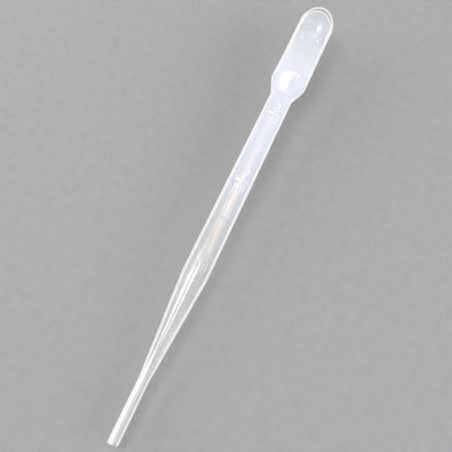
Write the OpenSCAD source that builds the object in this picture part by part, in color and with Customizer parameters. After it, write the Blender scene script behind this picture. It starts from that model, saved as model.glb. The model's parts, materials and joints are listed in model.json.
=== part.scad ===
// Graduated transfer pipette: one blow-moulded piece of soft, milky polyethylene.
// A straight tip opens through a long taper into the stem, and the stem through a
// shoulder cone into the squeeze bulb, whose domed end is the thickest of the wall.
// Lengths are measured along the pipette from the mouth of the tip.
// The pipette lies as it comes to rest, on the start of its stem and on its bulb,
// with the tip at -X, the bulb at +X and the scale on top.

/* [Tip] */
// Outside diameter of the straight tip
tip_od = 3; // [2:0.1:4]
// Wall of the tip
tip_wall = 0.45; // [0.3:0.05:0.7]
// Length of the straight tip
tip_l = 16; // [8:1:28]
// Radius of the blend from the tip into the taper
tip_blend = 15; // [4:1:30]

/* [Taper] */
// Length of the taper between the tip and the stem
taper_l = 30.4; // [20:0.4:44]
// Radius of the blend from the taper into the stem
taper_blend = 27; // [6:1:40]

/* [Stem] */
// Outside diameter of the stem
stem_od = 7.8; // [6:0.1:10]
// Wall of the stem, which sets the bore that holds the liquid
stem_wall = 0.4; // [0.3:0.05:0.8]
// Length of the stem between the taper and the neck
stem_l = 67; // [50:1:100]
// Radius of the blend at the neck, where the stem meets the shoulder
neck_blend = 4; // [1:0.5:8]

/* [Bulb] */
// Outside diameter of the squeeze bulb
bulb_od = 12.5; // [11:0.1:16]
// Wall of the bulb
bulb_wall = 0.7; // [0.4:0.05:1]
// Length of the shoulder cone between the neck and the bulb
shoulder_l = 6.2; // [4:0.2:12]
// Radius of the blend from the shoulder into the bulb
shoulder_blend = 4.8; // [2:0.2:9]
// Length of the straight side of the bulb
bulb_l = 27.2; // [15:0.2:45]
// Length of the dome that closes the bulb
dome_l = 8.2; // [5:0.2:12]
// Thickness of the dome at its very end
end_wall = 2; // [0.6:0.1:3]

/* [Graduations] */
// Volume between two neighbouring lines, in millilitres
mark_volume = 0.5; // [0.25:0.25:1]
// Distance from the mouth of the tip to the first line
first_mark = 38.6; // [25:0.2:60]
// Smallest distance between the last line and the neck
last_mark_gap = 5; // [2:1:20]
// Width of a line at its foot
mark_w = 0.4; // [0.2:0.05:0.8]
// Height of a line above the wall
mark_h = 0.12; // [0.05:0.01:0.3]
// Part of the round that a plain line spans, in degrees
plain_span = 34; // [20:2:60]
// Part of the round that a numbered line spans, in degrees
numbered_span = 62; // [40:2:120]
// Lines from one numbered line to the next
numbered_every = 2; // [1:1:5]
// Turn of the scale from the top of the lying pipette, in degrees
scale_turn = 17; // [-40:1:40]

/* [Hidden] */
$fn = 96;
BLEND_STEPS = 8;
DOME_STEPS = 24;

// Stations where one form ends and the next begins
taper_z = tip_l;
stem_z = taper_z + taper_l;
neck_z = stem_z + stem_l;
bulb_z = neck_z + shoulder_l;
dome_z = bulb_z + bulb_l;
overall_l = dome_z + dome_l;

// Outside and inside radii
tip_r = tip_od / 2;
stem_r = stem_od / 2;
bulb_r = bulb_od / 2;
orifice_r = tip_r - tip_wall;
bore_r = stem_r - stem_wall;
chamber_r = bulb_r - bulb_wall;

// Corners of the outer and inner outlines as [radius, distance from the mouth],
// each with the radius of its blend; the inner blends keep the wall even
outer_corners = [
    [tip_r, 0], [tip_r, taper_z], [stem_r, stem_z],
    [stem_r, neck_z], [bulb_r, bulb_z], [bulb_r, dome_z]];
outer_blends = [0, tip_blend, taper_blend, neck_blend, shoulder_blend, 0];
inner_corners = [
    [orifice_r, 0], [orifice_r, taper_z], [bore_r, stem_z],
    [bore_r, neck_z], [chamber_r, bulb_z], [chamber_r, dome_z]];
inner_blends = [
    0, tip_blend + tip_wall, taper_blend - stem_wall,
    neck_blend + stem_wall, shoulder_blend - bulb_wall, 0];

// A blend at the corner p between its neighbours a and b, as [centre, radius];
// a blend never takes more than its share of the two straight sides
SHARE = 0.45;
function toward(p, q) = (q - p) / norm(q - p);
function half_angle(a, p, b) = acos(toward(p, a) * toward(p, b)) / 2;
function blend_radius(a, p, b, r) =
    min(r, SHARE * min(norm(a - p), norm(b - p)) * tan(half_angle(a, p, b)));
function blend_centre(a, p, b, r) =
    let (inward = toward(p, a) + toward(p, b))
    p + inward / norm(inward) * r / sin(half_angle(a, p, b));

// Points along that blend, from the side of a to the side of b
function blend_points(a, p, b, wanted_r) =
    let (
        r = blend_radius(a, p, b, wanted_r),
        centre = blend_centre(a, p, b, r),
        start = p + toward(p, a) * r / tan(half_angle(a, p, b)) - centre,
        turn = 180 - 2 * half_angle(a, p, b),
        way = sign(cross(p - a, b - p)),
        first = atan2(start.y, start.x))
    [for (i = [0 : BLEND_STEPS])
        let (angle = first + way * turn * i / BLEND_STEPS)
        centre + r * [cos(angle), sin(angle)]];

// An outline through the corners, with its inner corners blended
function blended(corners, blends) = [
    for (i = [0 : len(corners) - 1])
        each i == 0 || i == len(corners) - 1 || blends[i] <= 0
            ? [corners[i]]
            : blend_points(corners[i - 1], corners[i], corners[i + 1], blends[i])];

// Quarter ellipse from the side of a dome to its top
function dome(r, height) = [
    for (i = [1 : DOME_STEPS])
        let (angle = 90 * i / DOME_STEPS)
        [r * cos(angle), dome_z + height * sin(angle)]];

function reversed(list) = [for (i = [len(list) - 1 : -1 : 0]) list[i]];

// Radius of the outside, between the tip and the neck
function outside_r(z) = lookup(z, [[taper_z, tip_r], [stem_z, stem_r]]);

// The lines of the scale are one mark_volume of bore apart
ML = 1000;
mark_pitch = mark_volume * ML / (PI * bore_r * bore_r);
mark_count = 1 + floor((neck_z - last_mark_gap - first_mark) / mark_pitch);

// At rest the lower outline touches the floor with the blends at both ends of the
// stem and shoulder: their common tangent gives the tilt and the axis's height
rest_a_r = blend_radius(outer_corners[1], outer_corners[2], outer_corners[3], taper_blend);
rest_a = blend_centre(outer_corners[1], outer_corners[2], outer_corners[3], rest_a_r);
rest_b_r = blend_radius(outer_corners[3], outer_corners[4], outer_corners[5], shoulder_blend);
rest_b = blend_centre(outer_corners[3], outer_corners[4], outer_corners[5], rest_b_r);
rest_span = rest_b - rest_a;
tilt = atan2(rest_span.x, rest_span.y) - asin((rest_a_r - rest_b_r) / norm(rest_span));
mouth_height = rest_a.x * cos(tilt) - rest_a.y * sin(tilt) + rest_a_r;

// Ends of the tilted pipette along X, measured from the middle of the mouth
low_x = -tip_r * sin(tilt);
high_x = dome_z * cos(tilt) + norm([dome_l * cos(tilt), bulb_r * sin(tilt)]);

// Lays a pipette that stands on its mouth down on the floor, centred on the origin
module laid() {
    translate([-(low_x + high_x) / 2, 0, mouth_height])
        rotate([0, 90 - tilt, 0])
            children();
}

// The moulded wall: tip, taper, stem, shoulder and bulb in one
module wall() {
    rotate_extrude()
        polygon(concat(
            blended(outer_corners, outer_blends),
            dome(bulb_r, dome_l),
            reversed(concat(
                blended(inner_corners, inner_blends),
                dome(chamber_r, dome_l - end_wall)))));
}

// One raised line of the scale, rooted in the middle of the wall
module graduation_line(z, span) {
    foot_r = outside_r(z) - stem_wall / 2;
    top_r = outside_r(z) + mark_h;
    rotate([0, 0, -span / 2])
        rotate_extrude(angle = span)
            polygon([
                [foot_r, z - mark_w / 2], [top_r, z - mark_w / 4],
                [top_r, z + mark_w / 4], [foot_r, z + mark_w / 2]]);
}

// All lines, each numbered one longer
module scale_lines() {
    for (i = [1 : mark_count])
        graduation_line(
            first_mark + (i - 1) * mark_pitch,
            i % numbered_every == 0 ? numbered_span : plain_span);
}

module pipette() {
    color([0.86, 0.90, 0.96])
        laid() {
            wall();
            rotate([0, 0, 180 + scale_turn])
                scale_lines();
        }
}

pipette();
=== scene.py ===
"""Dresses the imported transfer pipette: one moulded wall with its raised scale, in milky plastic.

Lengths are in metres. s runs along the pipette from the mouth of its tip to the end of its bulb.
turn is the angle round it, from the side that lies uppermost towards -Y.
"""

import json
import math

import bpy
import numpy as np
from mathutils import Matrix, Vector

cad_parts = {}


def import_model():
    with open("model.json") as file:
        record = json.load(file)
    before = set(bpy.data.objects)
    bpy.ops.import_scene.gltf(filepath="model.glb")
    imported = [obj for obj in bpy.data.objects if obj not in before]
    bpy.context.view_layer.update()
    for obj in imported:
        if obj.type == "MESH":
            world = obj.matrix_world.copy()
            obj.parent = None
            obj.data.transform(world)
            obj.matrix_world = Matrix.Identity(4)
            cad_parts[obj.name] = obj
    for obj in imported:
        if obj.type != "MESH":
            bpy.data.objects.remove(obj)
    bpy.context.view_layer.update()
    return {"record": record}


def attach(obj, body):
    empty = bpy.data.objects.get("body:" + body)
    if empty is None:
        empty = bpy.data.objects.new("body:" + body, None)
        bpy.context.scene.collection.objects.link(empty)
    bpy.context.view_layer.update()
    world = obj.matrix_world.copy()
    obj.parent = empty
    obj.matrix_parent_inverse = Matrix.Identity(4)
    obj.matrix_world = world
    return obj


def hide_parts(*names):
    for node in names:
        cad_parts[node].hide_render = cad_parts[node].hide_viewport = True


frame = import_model()

MM = 0.001

# --- sizes of the wall, as in the part's source ---
TIP_R = 1.5 * MM
TIP_WALL = 0.45 * MM
TIP_L = 16 * MM
TIP_BLEND = 15 * MM
TAPER_L = 30.4 * MM
TAPER_BLEND = 27 * MM
STEM_R = 3.9 * MM
STEM_WALL = 0.4 * MM
STEM_L = 67 * MM
NECK_BLEND = 4 * MM
BULB_R = 6.25 * MM
BULB_WALL = 0.7 * MM
SHOULDER_L = 6.2 * MM
SHOULDER_BLEND = 4.8 * MM
BULB_L = 27.2 * MM
DOME_L = 8.2 * MM
END_WALL = 2 * MM
BLEND_SHARE = 0.45

TAPER_S = TIP_L
STEM_S = TAPER_S + TAPER_L
NECK_S = STEM_S + STEM_L
BULB_S = NECK_S + SHOULDER_L
DOME_S = BULB_S + BULB_L
END_S = DOME_S + DOME_L

# --- the raised scale: its lines, as in the part's source, then the figures and the unit ---
# between two lines, in cubic metres
MARK_VOLUME = 0.5e-6
MARK_COUNT = 6
NUMBERED_EVERY = 2
FIRST_MARK = 38.6 * MM
MARK_W = 0.4 * MM
MARK_H = 0.12 * MM
PLAIN_SPAN = math.radians(34)
NUMBERED_SPAN = math.radians(62)
SCALE_TURN = math.radians(17)
MARK_PITCH = MARK_VOLUME / (math.pi * (STEM_R - STEM_WALL) ** 2)

FIGURE_H = 3.3 * MM
FIGURE_W = 1.7 * MM
UNIT_H = 2.9 * MM
UNIT_W = 3.3 * MM
LABEL_GAP = 0.9 * MM
STROKE_W = 0.42 * MM
STROKE_H = 0.1 * MM
ARC_POINTS = 9

# --- the fine unevenness of the moulding ---
SWELL = 0.004 * MM
SWELL_MEAN, SWELL_RANGE = 1.1, 0.5
SWELL_WAVE = 5.3 * MM
SHORT_WAVE = 3.1 * MM
LIP = 0.1 * MM
# how far both surfaces are set in from the size of the part
INSET = 0.02 * MM
DENT = 0.18 * MM
DENT_S = 131 * MM
DENT_L = 7 * MM
# dimples in the bulb: place in mm, turn in degrees, size and depth in mm
DIMPLES = ((135.5, -17, 1.1, 0.56), (143.0, -17, 0.9, 0.44), (137.2, 40, 1.0, 0.56))

# --- how closely the rings and columns of the mesh lie ---
LINE_RINGS = 0.07 * MM
FIGURE_RINGS = 0.1 * MM
DIMPLE_RINGS = 0.25 * MM
DIMPLE_RINGS_INSIDE = 0.5 * MM
BLEND_RINGS = 0.35 * MM
PLAIN_RINGS = 1.2 * MM
LIP_RINGS = LIP / 5
LINE_REACH = 0.8 * MARK_W
BELOW_LINE = UNIT_H + LABEL_GAP + STROKE_W
ABOVE_LINE = FIGURE_H + LABEL_GAP + STROKE_W
DIMPLES_S = 139.3 * MM
DIMPLES_REACH = 5.8 * MM
DIMPLES_REACH_INSIDE = 5.3 * MM
TAPER_REACH = 4 * MM
SHOULDER_REACH = 3 * MM
DOME_REACH = 7 * MM
BLEND_STEPS = 48
DOME_STEPS = 36
SCALE_COLUMNS = 62
DIMPLE_COLUMNS = 10
FAR_COLUMNS = 60
SCALE_MARGIN = math.radians(4)
DIMPLE_SPAN = math.radians(21)

# --- how solid the wall looks face on: place in mm, outer surface, inner surface ---
OUTER, INNER = 1, 2
HAZE = (
    (0, 0.14, 0.06),
    (16, 0.12, 0.05),
    (32, 0.11, 0.05),
    (46, 0.15, 0.08),
    (62, 0.17, 0.11),
    (75, 0.20, 0.22),
    (94, 0.24, 0.42),
    (110, 0.27, 0.50),
    (134, 0.26, 0.48),
    (141, 0.12, 0.22),
    (148, 0.07, 0.26),
    (155, 0.13, 0.32),
)
# streaks whitened into the plastic: those on the upper side of the tip and taper are painted
# highlights in place of the lamps' reflections, the rest lie round the underside: start and end in
# mm, turn at each and width in degrees, strength
HIGHLIGHT_STREAKS = (
    (0, 17, -24, -22, 28, 0.72),
    (0, 15, 14, 19, 6, 0.35),
    (10, 26, -7, -7, 7, 0.50),
    (24, 56, -8, -10, 9, 0.28),
    (24, 52, 10, 10, 5, 0.48),
    (24, 60, 26, 24, 12, 0.08),
    (0, 40, 112, 120, 7, 0.40),
    (0, 34, 160, 150, 12, 0.30),
    (6, 50, 205, 215, 6, 0.35),
    (0, 30, 250, 246, 9, 0.30),
)
# over how many mm each fades in and out
STREAK_FADE = 5
# faint bands that wind along it: strength, then how many lie round it and the length per radian
BANDS = 0.012
BAND_COUNT, BAND_L = 9, 30 * MM
FINE_BAND_COUNT, FINE_BAND_L = 15, 22 * MM

# --- where the wall is seen through its own thickness ---
# place in mm, how far from face on that starts, how solid it looks there
EDGE_START, EDGE_SOLID = 1, 2
EDGES = (
    (0, 0.16, 0.50),
    (16, 0.17, 0.48),
    (28, 0.24, 0.46),
    (50, 0.35, 0.52),
    (70, 0.37, 0.62),
    (94, 0.44, 0.84),
    (120, 0.54, 0.96),
    (146, 0.54, 0.96),
    (153, 0.62, 0.96),
)
# how soon it is at its full, and the most solid that anything looks
EDGE_BAND = 0.1
EDGE_HAZE = 0.96
# the same start on the inner surface, along the pipette and in the thick end
INNER_EDGE = 0.8
END_EDGE = 0.6
END_EDGE_FROM = DOME_S - 3 * MM
END_EDGE_TO = DOME_S + 1 * MM

# --- how white the scale looks, partly for its thicker plastic and partly as painted glints, which is less near the clear tip, and how much duller it is ---
LINE_WHITE_AND_GLINT = 0.6
STROKE_WHITE_AND_GLINT = 0.62
CLEAR_SCALE = 0.6
CLEAR_SCALE_S = 50 * MM
WHITE_SCALE_S = 105 * MM
RAISED_ROUGH = 0.1

# --- roughness: place in mm, outer surface, inner surface ---
ROUGH = (
    (0, 0.20, 0.36),
    (14, 0.20, 0.36),
    (22, 0.32, 0.50),
    (46, 0.32, 0.50),
    (60, 0.20, 0.36),
    (108, 0.20, 0.36),
    (112, 0.20, 0.70),
    (124, 0.20, 0.70),
    (131, 0.20, 0.36),
    (143, 0.20, 0.33),
    (155, 0.20, 0.33),
)

# --- colours, each as the two ends that noise varies it between ---
THIN_LOW, THIN_HIGH = (0.87, 0.858, 0.846), (0.905, 0.893, 0.881)
THICK_LOW, THICK_HIGH = (0.86, 0.885, 0.965), (0.90, 0.92, 0.985)
RIM_LOW, RIM_HIGH = (0.93, 0.92, 0.91), (0.955, 0.945, 0.935)
FLOOR_LOW, FLOOR_HIGH = (0.38, 0.374, 0.366), (0.41, 0.404, 0.396)
# where the plastic stops being warm white, and where it is bluish
WARM_S = 30 * MM
COOL_S = 80 * MM

# --- noise in the materials: scale, detail, and how it is scaled along each axis ---
EVEN = (1, 1, 1)
CLOUD = (160, 3, (0.25, 1, 1))
HAZE_CLOUD = (220, 3, (0.2, 1, 1))
GRAIN = (900, 3, EVEN)
WALL_BUMP = (700, 1, (0.15, 1, 1))
FLOOR_GRAIN = (350, 4, EVEN)
FLOOR_BUMP = (1500, 3, EVEN)
NOISE_LOW, NOISE_HIGH = 0.3, 0.7
HAZE_VARIES = 0.06
ROUGH_VARIES = 0.2
WALL_BUMP_H = 0.002 * MM
FLOOR_BUMP_H = 0.02 * MM

# --- the shaders' constants ---
WALL_IOR = 1.51
WALL_SPECULAR = 1.0
SHEEN_WEIGHT = 0.4
SHEEN_ROUGH = 0.3
SHEEN_TINT = (1.0, 0.94, 0.86)
FLOOR_ROUGH = 0.85
FLOOR_SPECULAR = 0.0

# --- studio ---
FLOOR_SIZE = 1.2
WHITE = (1, 1, 1)
# soft boxes: degrees from straight up, low and high, towards +X and towards +Y, then distance,
# radiance, colour, and the kind of rays that don't meet it
LAMPS = {
    "above": ((-10, 16), (12, 44), 0.7, 4.2, WHITE, "glossy"),
    "left": ((-30, 30), (60, 85), 0.7, 4.0, WHITE, "glossy"),
    "right": ((-30, 30), (-85, -60), 0.7, 5.8, WHITE, "glossy"),
    "window": ((-3, 4), (-14, 50), 0.7, 20, WHITE, "diffuse"),
    "window_behind": ((-43, -26), (14, 44), 0.7, 90, (1, 0.95, 0.88), "diffuse"),
    "warm_ceiling": ((11, 27), (-50, 30), 0.68, 9.5, (1, 0.73, 0.51), "diffuse"),
    "ceiling_strip": ((12, 27), (-14, -9.5), 0.67, 26, WHITE, "diffuse"),
}
WORLD_LIT = (0.9, 0.94, 1.0)
WORLD_LIGHT = 0.45
WORLD_SEEN = (0.93, 0.96, 1.0)
SEEN_LIGHT = 1.0

AZIMUTH = math.radians(-65.926)
ELEVATION = math.radians(66.37)
AIM = (-0.01212, -0.001165, 0)
DISTANCE = 0.128415
LENS = 33.45
SENSOR = 36
CLIP_START = 0.005


# ------------------------------------------------------------------ outline of the wall


def rounded(corners, blends):
    """The outline through the corners, each rounded to its blend radius, as (s, r) points."""
    line = [Vector(corners[0])]
    for before, corner, after, blend in zip(corners, corners[1:], corners[2:], blends):
        corner = Vector(corner)
        back, on = Vector(before) - corner, Vector(after) - corner
        half = back.angle(on) / 2
        radius = min(blend, BLEND_SHARE * min(back.length, on.length) * math.tan(half))
        back.normalize()
        on.normalize()
        centre = corner + (back + on).normalized() * radius / math.sin(half)
        start = corner + back * radius / math.tan(half) - centre
        end = corner + on * radius / math.tan(half) - centre
        for i in range(BLEND_STEPS + 1):
            line.append(centre + start.lerp(end, i / BLEND_STEPS).normalized() * radius)
    line.append(Vector(corners[-1]))
    return np.array([tuple(p) for p in line])


def wall_line(tip, stem, bulb, blends):
    """The outline of one surface, from its radius in the tip, the stem and the bulb."""
    ends_of_tip = [(0, tip), (TAPER_S, tip)]
    ends_of_stem = [(STEM_S, stem), (NECK_S, stem)]
    ends_of_bulb = [(BULB_S, bulb), (DOME_S, bulb)]
    return rounded(ends_of_tip + ends_of_stem + ends_of_bulb, blends)


def outer_line():
    return wall_line(TIP_R, STEM_R, BULB_R, (TIP_BLEND, TAPER_BLEND, NECK_BLEND, SHOULDER_BLEND))


def inner_line():
    """The outline within the wall. Its blends are wider or tighter, so that the wall stays even."""
    blends = (
        TIP_BLEND + TIP_WALL,
        TAPER_BLEND - STEM_WALL,
        NECK_BLEND + STEM_WALL,
        SHOULDER_BLEND - BULB_WALL,
    )
    return wall_line(TIP_R - TIP_WALL, STEM_R - STEM_WALL, BULB_R - BULB_WALL, blends)


# ------------------------------------------------------------------ the raised scale


def arc(x, y, rx, ry, start, end):
    """Points on an arc, from one angle to another in degrees."""
    angles = np.radians(np.linspace(start, end, ARC_POINTS))
    return [(x + rx * math.cos(a), y + ry * math.sin(a)) for a in angles]


# Each figure is a list of strokes in a box one unit wide and one unit high, and so is the unit.
FIGURES = {
    "1": [[(0.25, 0.78), (0.58, 1.0), (0.58, 0.0)]],
    "2": [arc(0.5, 0.7, 0.44, 0.3, 165, -40) + [(0.06, 0.0), (0.96, 0.0)]],
    "3": [arc(0.46, 0.76, 0.4, 0.24, 150, -80), arc(0.46, 0.27, 0.46, 0.27, 80, -155)],
}
UNIT = [
    [(0.04, 0.0), (0.04, 0.66)],
    arc(0.2, 0.5, 0.16, 0.16, 180, 0) + [(0.36, 0.0)],
    arc(0.52, 0.5, 0.16, 0.16, 180, 0) + [(0.68, 0.0)],
    [(0.94, 0.0), (0.94, 1.0)],
]


def marks():
    """Where each line of the scale lies, and the figure beside it if it has one."""
    for i in range(1, MARK_COUNT + 1):
        figure = str(i // NUMBERED_EVERY) if i % NUMBERED_EVERY == 0 else None
        yield FIRST_MARK + (i - 1) * MARK_PITCH, figure


def placed(strokes, width, height, bottom):
    """Strokes of a unit box, as (across, along) points on the unrolled stem."""
    return [[((x - 0.5) * width, bottom + y * height) for x, y in stroke] for stroke in strokes]


def scale_strokes():
    """Every stroke beside the lines: a figure above each numbered one, and the unit below it."""
    strokes = []
    for s, figure in marks():
        if figure:
            strokes += placed(FIGURES[figure], FIGURE_W, FIGURE_H, s + LABEL_GAP)
            strokes += placed(UNIT, UNIT_W, UNIT_H, s - LABEL_GAP - UNIT_H)
    return strokes


def ridge(distance, foot):
    """The height of a rounded ridge, from 1 on its crest to 0 at its foot."""
    rise = np.clip(2 * (1 - distance / foot), 0, 1)
    return rise**2 * (3 - 2 * rise)


def relief(s, turn):
    """How far the scale stands proud of the stem, and how white it looks, partly as thicker plastic
    and partly as painted glints.
    """
    across = STEM_R * (turn - SCALE_TURN)
    height, white = np.zeros_like(across), np.zeros_like(across)
    for mark_s, figure in marks():
        reach = STEM_R * (NUMBERED_SPAN if figure else PLAIN_SPAN) / 2
        off_end = np.clip(np.abs(across) - reach, 0, None)
        crest = ridge(np.hypot(s - mark_s, off_end), MARK_W / 2)
        height = np.maximum(height, MARK_H * crest)
        white = np.maximum(white, LINE_WHITE_AND_GLINT * crest)
    for stroke in scale_strokes():
        for (x0, y0), (x1, y1) in zip(stroke, stroke[1:]):
            dx, dy = x1 - x0, y1 - y0
            t = np.clip(((across - x0) * dx + (s - y0) * dy) / (dx * dx + dy * dy), 0, 1)
            crest = ridge(np.hypot(across - x0 - t * dx, s - y0 - t * dy), STROKE_W / 2)
            height = np.maximum(height, STROKE_H * crest)
            white = np.maximum(white, STROKE_WHITE_AND_GLINT * crest)
    return height, white * np.interp(s, [CLEAR_SCALE_S, WHITE_SCALE_S], [CLEAR_SCALE, 1])


# ------------------------------------------------------------------ rings and columns


def outer_spacing(s):
    """How closely the rings lie at s: closest on the lines, the figures and the dimples."""
    for mark_s, figure in marks():
        if abs(s - mark_s) < LINE_REACH:
            return LINE_RINGS
        if figure and -BELOW_LINE < s - mark_s < ABOVE_LINE:
            return FIGURE_RINGS
    if abs(s - DIMPLES_S) < DIMPLES_REACH:
        return DIMPLE_RINGS
    return inner_spacing(s)


def inner_spacing(s):
    """The same without the scale: close at the lip, the dimples and the blends."""
    if s < LIP:
        return LIP_RINGS
    if abs(s - DIMPLES_S) < DIMPLES_REACH_INSIDE:
        return DIMPLE_RINGS_INSIDE
    at_taper = abs(s - TAPER_S) < TAPER_REACH
    at_shoulder = NECK_S - SHOULDER_REACH < s < BULB_S + SHOULDER_REACH
    if at_taper or at_shoulder or s > DOME_S - DOME_REACH:
        return BLEND_RINGS
    return PLAIN_RINGS


def rings(line, spacing, dome_height, lip):
    """Places along the pipette and the radius at each: up to the dome, then over it."""
    s = [0.0]
    while s[-1] < DOME_S - spacing(DOME_S):
        s.append(s[-1] + spacing(s[-1]))
    s = np.array(s)
    r = np.interp(s, line[:, 0], line[:, 1])
    inset = np.clip(LIP - s, 0, LIP)
    r = r + lip * (LIP - np.sqrt(LIP**2 - inset**2))
    angle = np.linspace(0, math.pi / 2, DOME_STEPS + 1)[:-1]
    dome_s = DOME_S + dome_height * np.sin(angle)
    dome_r = line[-1, 1] * np.cos(angle)
    return np.append(s, dome_s), np.append(r, dome_r)


def columns():
    """Angles round the pipette: closest under the scale, and close beside it for the dimples."""
    half = NUMBERED_SPAN / 2 + SCALE_MARGIN
    near = np.linspace(-half, half, SCALE_COLUMNS)
    beside = np.linspace(-half - DIMPLE_SPAN, -half, DIMPLE_COLUMNS + 1)[:-1]
    far = np.linspace(half, 2 * math.pi + beside[0], FAR_COLUMNS + 2)[1:-1]
    return np.concatenate([beside, near, far]) + SCALE_TURN


def grid(line, spacing, dome_height, lip):
    """The place, turn and even radius at each point of a surface.

    A lip of -1 narrows the surface at its mouth and 1 widens it, so that the edge there is round.
    """
    s, r = rings(line, spacing, dome_height, lip)
    s, turn = np.meshgrid(s, columns(), indexing="ij")
    return s, turn, r[:, None]


# ------------------------------------------------------------------ the moulded wall


def swell(s, turn):
    """The slow unevenness of a blown wall, a shallow dent and the dimples, all of them inward."""
    slow = np.sin(s / SWELL_WAVE + 2 * np.sin(turn)) + np.sin(s / SHORT_WAVE - 3 * turn + 1.3)
    dent = np.exp(-(((s - DENT_S) / DENT_L) ** 2)) * np.clip(-np.sin(turn), 0, 1) ** 3
    dips = 0
    for place, at, size, depth in DIMPLES:
        off = BULB_R / MM * (turn - math.radians(at))
        dips = dips + depth * np.exp(-((s / MM - place) ** 2 + off**2) / size**2)
    fade = np.clip((END_S - s) / DOME_L, 0, 1)
    uneven = -SWELL * (SWELL_MEAN + SWELL_RANGE * slow)
    return (uneven - DENT * dent - INSET - dips * MM) * fade


def laid_down(s, r, turn):
    """Points of the pipette as it lies, from the place and the axis of its mouth."""
    mouth = frame["record"]["mounts"][0]
    along = -Vector(mouth["axis"]).normalized()
    origin = Vector(mouth["pos_m"]) - along * mouth["dims"]["length_mm"] * MM / 2
    side = Vector((0, -1, 0))
    up = side.cross(along).normalized()
    return (
        np.array(origin)
        + np.maximum(s, INSET)[..., None] * np.array(along)
        + (r * np.cos(turn))[..., None] * np.array(up)
        + (r * np.sin(turn))[..., None] * np.array(side)
    )


def band(first, n, rows, outward):
    """The faces between rows of n points each."""
    faces = []
    for i in range(rows - 1):
        for j in range(n):
            k = (j + 1) % n
            a, b = first + i * n, first + (i + 1) * n
            quad = (a + j, a + k, b + k, b + j)
            faces.append(quad if outward else quad[::-1])
    return faces


def cap(last_row, n, centre, outward):
    """The faces between the last row of n points and the point that closes the end."""
    order = 1 if outward else -1
    return [(last_row + j, last_row + (j + 1) % n, centre)[::order] for j in range(n)]


def wall_faces(n, outer_rows, inner_rows):
    """Both surfaces with their closed ends, the inner one facing inward, and the mouth's ring."""
    inner_first = outer_rows * n
    outer_end = inner_first + inner_rows * n
    inner_end = outer_end + 1
    faces = band(0, n, outer_rows, True)
    faces += cap(inner_first - n, n, outer_end, True)
    faces += band(inner_first, n, inner_rows, False)
    faces += cap(outer_end - n, n, inner_end, False)
    for j in range(n):
        k = (j + 1) % n
        faces.append((k, j, inner_first + j, inner_first + k))
    return faces


def from_table(table, s, column):
    """A column's value at s, from a table whose first column is the place in mm."""
    table = np.array(table)
    return np.interp(s, table[:, 0] * MM, table[:, column])


def painted_streaks_and_bands(s, turn):
    """The whitened streaks, painted highlights on the upper side of the tip and taper, and the
    faint bands along it.
    """
    lines = 0
    for start, end, first_turn, last_turn, width, strength in HIGHLIGHT_STREAKS:
        along = np.clip((s / MM - start) / (end - start), 0, 1)
        to_end = np.minimum(s / MM - start, end - s / MM)
        ends = np.clip(to_end / STREAK_FADE + (start == 0), 0, 1)
        centre = np.radians(first_turn + (last_turn - first_turn) * along)
        off = np.arctan2(np.sin(turn - centre), np.cos(turn - centre)) / math.radians(width)
        lines = lines + strength * ends * np.exp(-(off**2))
    broad = np.sin(BAND_COUNT * turn + s / BAND_L)
    fine = np.sin(FINE_BAND_COUNT * turn + 1 - s / FINE_BAND_L)
    return lines + BANDS * (broad + fine)


def outer_haze(s, turn):
    """How solid the outer surface looks face on, with its painted highlight streaks."""
    return np.clip(from_table(HAZE, s, OUTER) + painted_streaks_and_bands(s, turn), 0, EDGE_HAZE)


def inner_edge(s):
    """How far from face on the inner surface starts to look solid: soonest at the thick end."""
    return np.interp(s, [END_EDGE_FROM, END_EDGE_TO], [INNER_EDGE, END_EDGE])


def cool(s):
    """How far the white has gone from warm, as at the tip, to bluish, as in the bulb."""
    return np.interp(s, [WARM_S, COOL_S], [0, 1])


def per_point(mesh, name, outer, inner, *ends):
    """Keeps a value at each point of the wall, for its material to read."""
    values = np.concatenate([outer.ravel(), inner.ravel(), ends]).astype(np.float32)
    mesh.attributes.new(name, "FLOAT", "POINT").data.foreach_set("value", values)


def keep_looks(mesh, s, turn, white, s_in):
    """What the material reads at each point: on the outer surface, the inner one and both ends."""
    haze_in, rough_in = from_table(HAZE, s_in, INNER), from_table(ROUGH, s_in, INNER)
    rim, rim_in = from_table(EDGES, s, EDGE_SOLID), from_table(EDGES, s_in, EDGE_SOLID)
    edge, end_edge = (from_table(EDGES, place, EDGE_START) for place in (s, DOME_S))
    # the outer haze carries the painted highlight streaks
    per_point(mesh, "haze", outer_haze(s, turn), haze_in, *HAZE[-1][OUTER:])
    per_point(mesh, "edge", edge, inner_edge(s_in), end_edge, END_EDGE)
    per_point(mesh, "rough", from_table(ROUGH, s, OUTER), rough_in, *ROUGH[-1][OUTER:])
    per_point(mesh, "rim", rim, rim_in, EDGE_HAZE, EDGE_HAZE)
    per_point(mesh, "cool", cool(s), cool(s_in), 1, 1)
    # the scale's white: partly thicker plastic, partly painted glints
    per_point(mesh, "raised", white, np.zeros_like(s_in), 0, 0)


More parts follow.
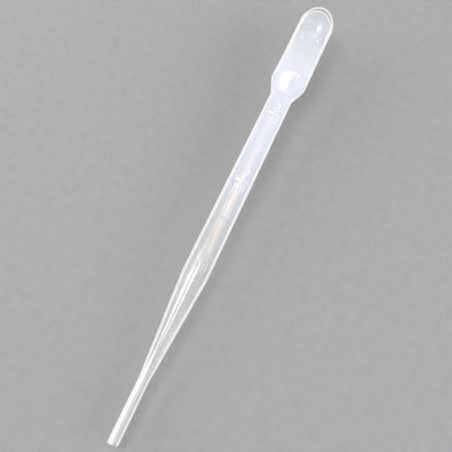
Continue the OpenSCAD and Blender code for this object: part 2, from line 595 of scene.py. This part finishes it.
def moulded_wall():
    """The whole pipette: an outer and an inner surface, joined round the mouth."""
    s, turn, r = grid(outer_line(), outer_spacing, DOME_L, -1)
    s_in, turn_in, r_in = grid(inner_line(), inner_spacing, DOME_L - END_WALL, 1)
    raised, white = relief(s, turn)
    outer = laid_down(s, r + raised + swell(s, turn), turn)
    inner = laid_down(s_in, r_in + swell(s_in, turn_in), turn_in)
    ends = laid_down(np.array([END_S - INSET, END_S - END_WALL]), np.zeros(2), np.zeros(2))
    verts = np.vstack([outer.reshape(-1, 3), inner.reshape(-1, 3), ends])

    mesh = bpy.data.meshes.new("moulded_wall")
    mesh.from_pydata(verts.tolist(), [], wall_faces(s.shape[1], s.shape[0], s_in.shape[0]))
    mesh.update()
    mesh.polygons.foreach_set("use_smooth", [True] * len(mesh.polygons))
    keep_looks(mesh, s, turn, white, s_in)

    piece = bpy.data.objects.new("moulded_wall", mesh)
    bpy.context.scene.collection.objects.link(piece)
    mesh.materials.append(milky_polyethylene())
    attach(piece, "root")
    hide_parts("pipette")


# ------------------------------------------------------------------ nodes


def new_material(name):
    """A material, its node tree and its Principled shader."""
    material = bpy.data.materials.new(name)
    material.use_nodes = True
    return material, material.node_tree, material.node_tree.nodes["Principled BSDF"]


def noise(tree, scale, detail, stretch):
    """Noise over the object's own coordinates, scaled along each axis."""
    where = tree.nodes.new("ShaderNodeTexCoord")
    mapping = tree.nodes.new("ShaderNodeMapping")
    mapping.inputs["Scale"].default_value = stretch
    texture = tree.nodes.new("ShaderNodeTexNoise")
    texture.inputs["Scale"].default_value = scale
    texture.inputs["Detail"].default_value = detail
    tree.links.new(where.outputs["Object"], mapping.inputs["Vector"])
    tree.links.new(mapping.outputs["Vector"], texture.inputs["Vector"])
    return texture.outputs["Fac"]


def varied(tree, fac, by):
    """Takes noise to numbers round 1, as far from it as given."""
    spread = tree.nodes.new("ShaderNodeMapRange")
    spread.inputs["From Min"].default_value = NOISE_LOW
    spread.inputs["From Max"].default_value = NOISE_HIGH
    spread.inputs["To Min"].default_value = 1 - by
    spread.inputs["To Max"].default_value = 1 + by
    tree.links.new(fac, spread.inputs["Value"])
    return spread.outputs["Result"]


def tint(tree, fac, low, high):
    """Takes noise to a range of colours."""
    colours = tree.nodes.new("ShaderNodeValToRGB")
    stops = colours.color_ramp.elements
    for stop, place, colour in zip(stops, (NOISE_LOW, NOISE_HIGH), (low, high)):
        stop.position = place
        stop.color = (*colour, 1)
    tree.links.new(fac, colours.inputs["Fac"])
    return colours.outputs["Color"]


def kept(tree, name):
    """A value that the mesh keeps at each point."""
    reader = tree.nodes.new("ShaderNodeAttribute")
    reader.attribute_name = name
    return reader.outputs["Fac"]


def maths(tree, operation, a, b):
    """The result of a Math node on two values, each a socket or a number."""
    node = tree.nodes.new("ShaderNodeMath")
    node.operation = operation
    for socket, value in zip(node.inputs, (a, b)):
        if isinstance(value, (int, float)):
            socket.default_value = value
        else:
            tree.links.new(value, socket)
    return node.outputs[0]


def mixed(tree, share, one, other):
    """Two colours, mixed by a share from 0 to 1 of the other."""
    mix = tree.nodes.new("ShaderNodeMix")
    mix.data_type = "RGBA"
    # a Mix node's sockets share their names, and these are the ones for colours
    factor, first, second = (mix.inputs[i] for i in (0, 6, 7))
    tree.links.new(share, factor)
    tree.links.new(one, first)
    tree.links.new(other, second)
    return mix.outputs[2]


def bumped(tree, shader, texture, height):
    """Gives a shader a fine bump of the given noise and height."""
    bump = tree.nodes.new("ShaderNodeBump")
    bump.inputs["Distance"].default_value = height
    tree.links.new(noise(tree, *texture), bump.inputs["Height"])
    tree.links.new(bump.outputs["Normal"], shader.inputs["Normal"])


# ------------------------------------------------------------------ materials


def edge_on(tree):
    """From 0 where the wall is seen face on to 1 where it is seen through its own thickness."""
    facing = tree.nodes.new("ShaderNodeLayerWeight")
    facing.inputs["Blend"].default_value = 0.5
    share = tree.nodes.new("ShaderNodeMapRange")
    share.interpolation_type = "SMOOTHSTEP"
    start = kept(tree, "edge")
    tree.links.new(facing.outputs["Facing"], share.inputs["Value"])
    tree.links.new(start, share.inputs["From Min"])
    tree.links.new(maths(tree, "ADD", start, EDGE_BAND), share.inputs["From Max"])
    return share.outputs["Result"]


def solidity(tree, edge):
    """How solid the wall looks: hazy face on with painted highlight streaks, and white edge on and
    on the raised scale, whose white is partly painted glints.
    """
    cloud = varied(tree, noise(tree, *HAZE_CLOUD), HAZE_VARIES)
    body = maths(tree, "MULTIPLY", kept(tree, "haze"), cloud)
    more = maths(tree, "MAXIMUM", maths(tree, "SUBTRACT", kept(tree, "rim"), body), 0)
    more = maths(tree, "MULTIPLY", more, edge)
    return maths(tree, "MAXIMUM", maths(tree, "ADD", body, more), kept(tree, "raised"))


def wall_colour(tree, edge):
    """Warm white where it is drawn thin, bluish beyond, and whiter edge on and on the scale, where
    the white is partly painted glints.
    """
    cloud = noise(tree, *CLOUD)
    thin = tint(tree, cloud, THIN_LOW, THIN_HIGH)
    thick = tint(tree, cloud, THICK_LOW, THICK_HIGH)
    body = mixed(tree, kept(tree, "cool"), thin, thick)
    whiter = maths(tree, "MAXIMUM", edge, kept(tree, "raised"))
    return mixed(tree, whiter, body, tint(tree, cloud, RIM_LOW, RIM_HIGH))


def wall_roughness(tree):
    """The roughness of each place, duller on the scale and varied by a fine grain."""
    duller = maths(tree, "MULTIPLY", kept(tree, "raised"), RAISED_ROUGH)
    matt = maths(tree, "ADD", kept(tree, "rough"), duller)
    return maths(tree, "MULTIPLY", matt, varied(tree, noise(tree, *GRAIN), ROUGH_VARIES))


def milky_polyethylene():
    """Thin plastic that the floor shows through, with its solidity in the alpha."""
    material, tree, shader = new_material("milky_polyethylene")
    edge = edge_on(tree)
    tree.links.new(wall_colour(tree, edge), shader.inputs["Base Color"])
    tree.links.new(wall_roughness(tree), shader.inputs["Roughness"])
    tree.links.new(solidity(tree, edge), shader.inputs["Alpha"])
    shader.inputs["IOR"].default_value = WALL_IOR
    shader.inputs["Specular IOR Level"].default_value = WALL_SPECULAR
    shader.inputs["Sheen Weight"].default_value = SHEEN_WEIGHT
    shader.inputs["Sheen Roughness"].default_value = SHEEN_ROUGH
    shader.inputs["Sheen Tint"].default_value = (*SHEEN_TINT, 1)
    bumped(tree, shader, WALL_BUMP, WALL_BUMP_H)
    return material


def floor_paint():
    """Matt with no gloss, so that the lamps meant for the plastic's gloss leave no light on it."""
    material, tree, shader = new_material("floor_paint")
    grain = noise(tree, *FLOOR_GRAIN)
    tree.links.new(tint(tree, grain, FLOOR_LOW, FLOOR_HIGH), shader.inputs["Base Color"])
    shader.inputs["Roughness"].default_value = FLOOR_ROUGH
    shader.inputs["Specular IOR Level"].default_value = FLOOR_SPECULAR
    bumped(tree, shader, FLOOR_BUMP, FLOOR_BUMP_H)
    return material


# ------------------------------------------------------------------ studio


def floor():
    """Plain and pale, at Z = 0."""
    bpy.ops.mesh.primitive_plane_add(size=FLOOR_SIZE, location=(0, 0, 0))
    plane = bpy.context.object
    plane.name = "floor"
    plane.data.materials.append(floor_paint())


def lamp(name, axial, lateral, distance, radiance, colour, unseen):
    """A soft box that faces the middle of the floor, with a row of LAMPS for its settings."""
    light = bpy.data.lights.new(name, "AREA")
    light.shape = "RECTANGLE"
    lean_x, lean_y = (math.radians(sum(span) / 2) for span in (axial, lateral))
    level = math.cos(lean_x)
    back = Vector((math.sin(lean_x), level * math.sin(lean_y), level * math.cos(lean_y)))
    wide = Vector((1, 0, 0))
    wide = (wide - back * wide.dot(back)).normalized()
    light.size, light.size_y = (
        2 * distance * math.tan(math.radians(high - low) / 2) for low, high in (axial, lateral)
    )
    light.energy = radiance * math.pi * light.size * light.size_y
    light.color = colour
    holder = bpy.data.objects.new(name, light)
    holder.location = back * distance
    holder.rotation_mode = "QUATERNION"
    turned = Matrix((wide, back.cross(wide), back)).transposed()
    holder.rotation_quaternion = turned.to_quaternion()
    holder.visible_camera = False
    setattr(holder, "visible_" + unseen, False)
    bpy.context.scene.collection.objects.link(holder)


def world():
    """A pale surround: dimmer as a light than as a thing seen directly or in reflections."""
    surround = bpy.data.worlds.new("studio")
    surround.use_nodes = True
    tree = surround.node_tree
    lit = tree.nodes["Background"]
    lit.inputs["Color"].default_value = (*WORLD_LIT, 1)
    lit.inputs["Strength"].default_value = WORLD_LIGHT
    seen = tree.nodes.new("ShaderNodeBackground")
    seen.inputs["Color"].default_value = (*WORLD_SEEN, 1)
    seen.inputs["Strength"].default_value = SEEN_LIGHT
    path = tree.nodes.new("ShaderNodeLightPath")
    direct = path.outputs["Is Camera Ray"]
    for rays in ("Is Glossy Ray", "Is Transmission Ray"):
        direct = maths(tree, "MAXIMUM", direct, path.outputs[rays])
    mix = tree.nodes.new("ShaderNodeMixShader")
    tree.links.new(direct, mix.inputs["Fac"])
    tree.links.new(lit.outputs[0], mix.inputs[1])
    tree.links.new(seen.outputs[0], mix.inputs[2])
    tree.links.new(mix.outputs[0], tree.nodes["World Output"].inputs["Surface"])
    bpy.context.scene.world = surround


def camera():
    """The photograph's viewing angle, from above and to one side."""
    data = bpy.data.cameras.new("camera")
    data.lens = LENS
    data.sensor_width = SENSOR
    data.clip_start = CLIP_START
    holder = bpy.data.objects.new("camera", data)
    level = math.cos(ELEVATION)
    back = Vector((math.sin(AZIMUTH) * level, -math.cos(AZIMUTH) * level, math.sin(ELEVATION)))
    holder.location = Vector(AIM) + back * DISTANCE
    holder.rotation_mode = "QUATERNION"
    holder.rotation_quaternion = (-back).to_track_quat("-Z", "Y")
    bpy.context.scene.collection.objects.link(holder)
    bpy.context.scene.camera = holder


bpy.context.scene.view_settings.view_transform = "Standard"
camera()
moulded_wall()
floor()
for lamp_name, lamp_settings in LAMPS.items():
    lamp(lamp_name, *lamp_settings)
world()
